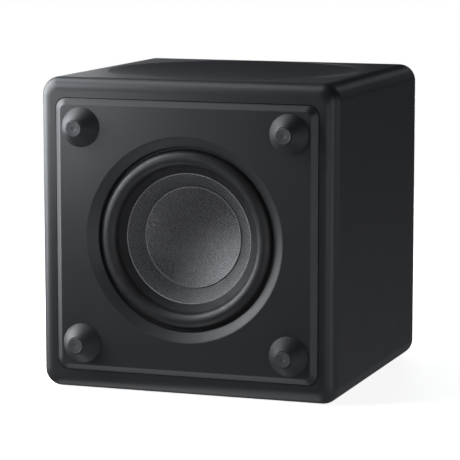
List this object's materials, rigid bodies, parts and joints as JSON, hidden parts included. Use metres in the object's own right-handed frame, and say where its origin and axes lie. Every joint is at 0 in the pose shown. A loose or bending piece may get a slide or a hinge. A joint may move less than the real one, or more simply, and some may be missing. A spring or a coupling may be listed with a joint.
{
  "type": "subwoofer",
  "caption": "Compact cube subwoofer with a raised driver panel, conical feet with rubber pads, a shallow dish in one face and a rear connection plate.",
  "frame": {"origin": "middle of the cabinet's lower flat face, with the cabinet lying so that its driver faces forward", "axes": "-Y is the way the driver faces and +Y is the rear connection plate, +Z is the face with the shallow dish, +X is to the right when facing the driver"},
  "size_m": [0.235, 0.2416, 0.237],
  "materials": {
    "cabinet": "satin charcoal",
    "panel": "satin charcoal",
    "foot": "satin charcoal",
    "pad": "matt rubber",
    "rubber": "smooth moulded rubber with a soft gloss",
    "weave": "resin-stiffened woven fibre",
    "former": "wound former sheet",
    "copper": "enamelled copper wire",
    "spider": "resin-dipped corrugated cloth",
    "frame": "black powder coat",
    "plated": "zinc plated",
    "ferrite": "ground ferrite",
    "screw": "black oxide",
    "foam": "closed-cell foam",
    "wadding": "polyester wadding",
    "amp": "fine matt grain",
    "socket": "moulded black",
    "pin": "nickel plated",
    "button": "moulded dark grey",
    "light": "clear light pipe",
    "board": "green solder mask",
    "core": "ferrite and tape",
    "capacitor": "printed sleeve",
    "aluminium": "extruded",
    "shield": "tinned can",
    "red_lead": "soft sleeve",
    "black_lead": "soft sleeve",
    "strip": "laminate board"
  },
  "bodies": {
    "cabinet": {"amp_gasket": "foam", "amp_plate": "amp", "amp_screw_1": "screw", "amp_screw_2": "screw", "amp_screw_3": "screw", "amp_screw_4": "screw", "amp_screw_5": "screw", "amp_screw_6": "screw", "baffle_panel": "panel", "board_screw_1": "plated", "board_screw_2": "plated", "board_screw_3": "plated", "board_screw_4": "plated", "bulk_capacitor": "capacitor", "cabinet_shell": "cabinet", "control_board": "board", "driver_frame": "frame", "driver_gasket": "foam", "driver_screw_1": "screw", "driver_screw_2": "screw", "driver_screw_3": "screw", "driver_screw_4": "screw", "foot_bottom_left": "foot", "foot_bottom_right": "foot", "foot_pad_bottom_left": "pad", "foot_pad_bottom_right": "pad", "foot_pad_top_left": "pad", "foot_pad_top_right": "pad", "foot_screw_bottom_left": "screw", "foot_screw_bottom_right": "screw", "foot_screw_top_left": "screw", "foot_screw_top_right": "screw", "foot_top_left": "foot", "foot_top_right": "foot", "heat_sink": "aluminium", "inlet_pin_left": "pin", "inlet_pin_right": "pin", "inlet_socket": "socket", "magnet": "ferrite", "main_board": "board", "pairing_switch": "socket", "speaker_lead_black": "black_lead", "speaker_lead_red": "red_lead", "spider": "spider", "status_light": "light", "surround": "rubber", "terminal_strip": "strip", "tinsel_lead_left": "copper", "tinsel_lead_right": "copper", "top_plate": "plated", "transformer": "core", "wadding": "wadding", "wireless_module": "shield", "yoke": "plated"},
    "diaphragm": {"cone": "weave", "dust_dish": "weave", "voice_coil_former": "former", "voice_coil": "copper"},
    "button": {"pairing_button": "button"}
  },
  "joints": [
    {"name": "diaphragm_slide", "type": "slide", "parent": "cabinet", "child": "diaphragm", "axis": [0, -1, 0], "range_m": [-0.006, 0.006], "stiffness_N_per_m": 2500, "deforming": ["surround", "spider", "tinsel_lead_left", "tinsel_lead_right"]},
    {"name": "pairing_button_press", "type": "slide", "parent": "cabinet", "child": "button", "axis": [0, -1, 0], "range_m": [0, 0.0008], "stiffness_N_per_m": 1500, "springref_m": -0.0003}
  ]
}
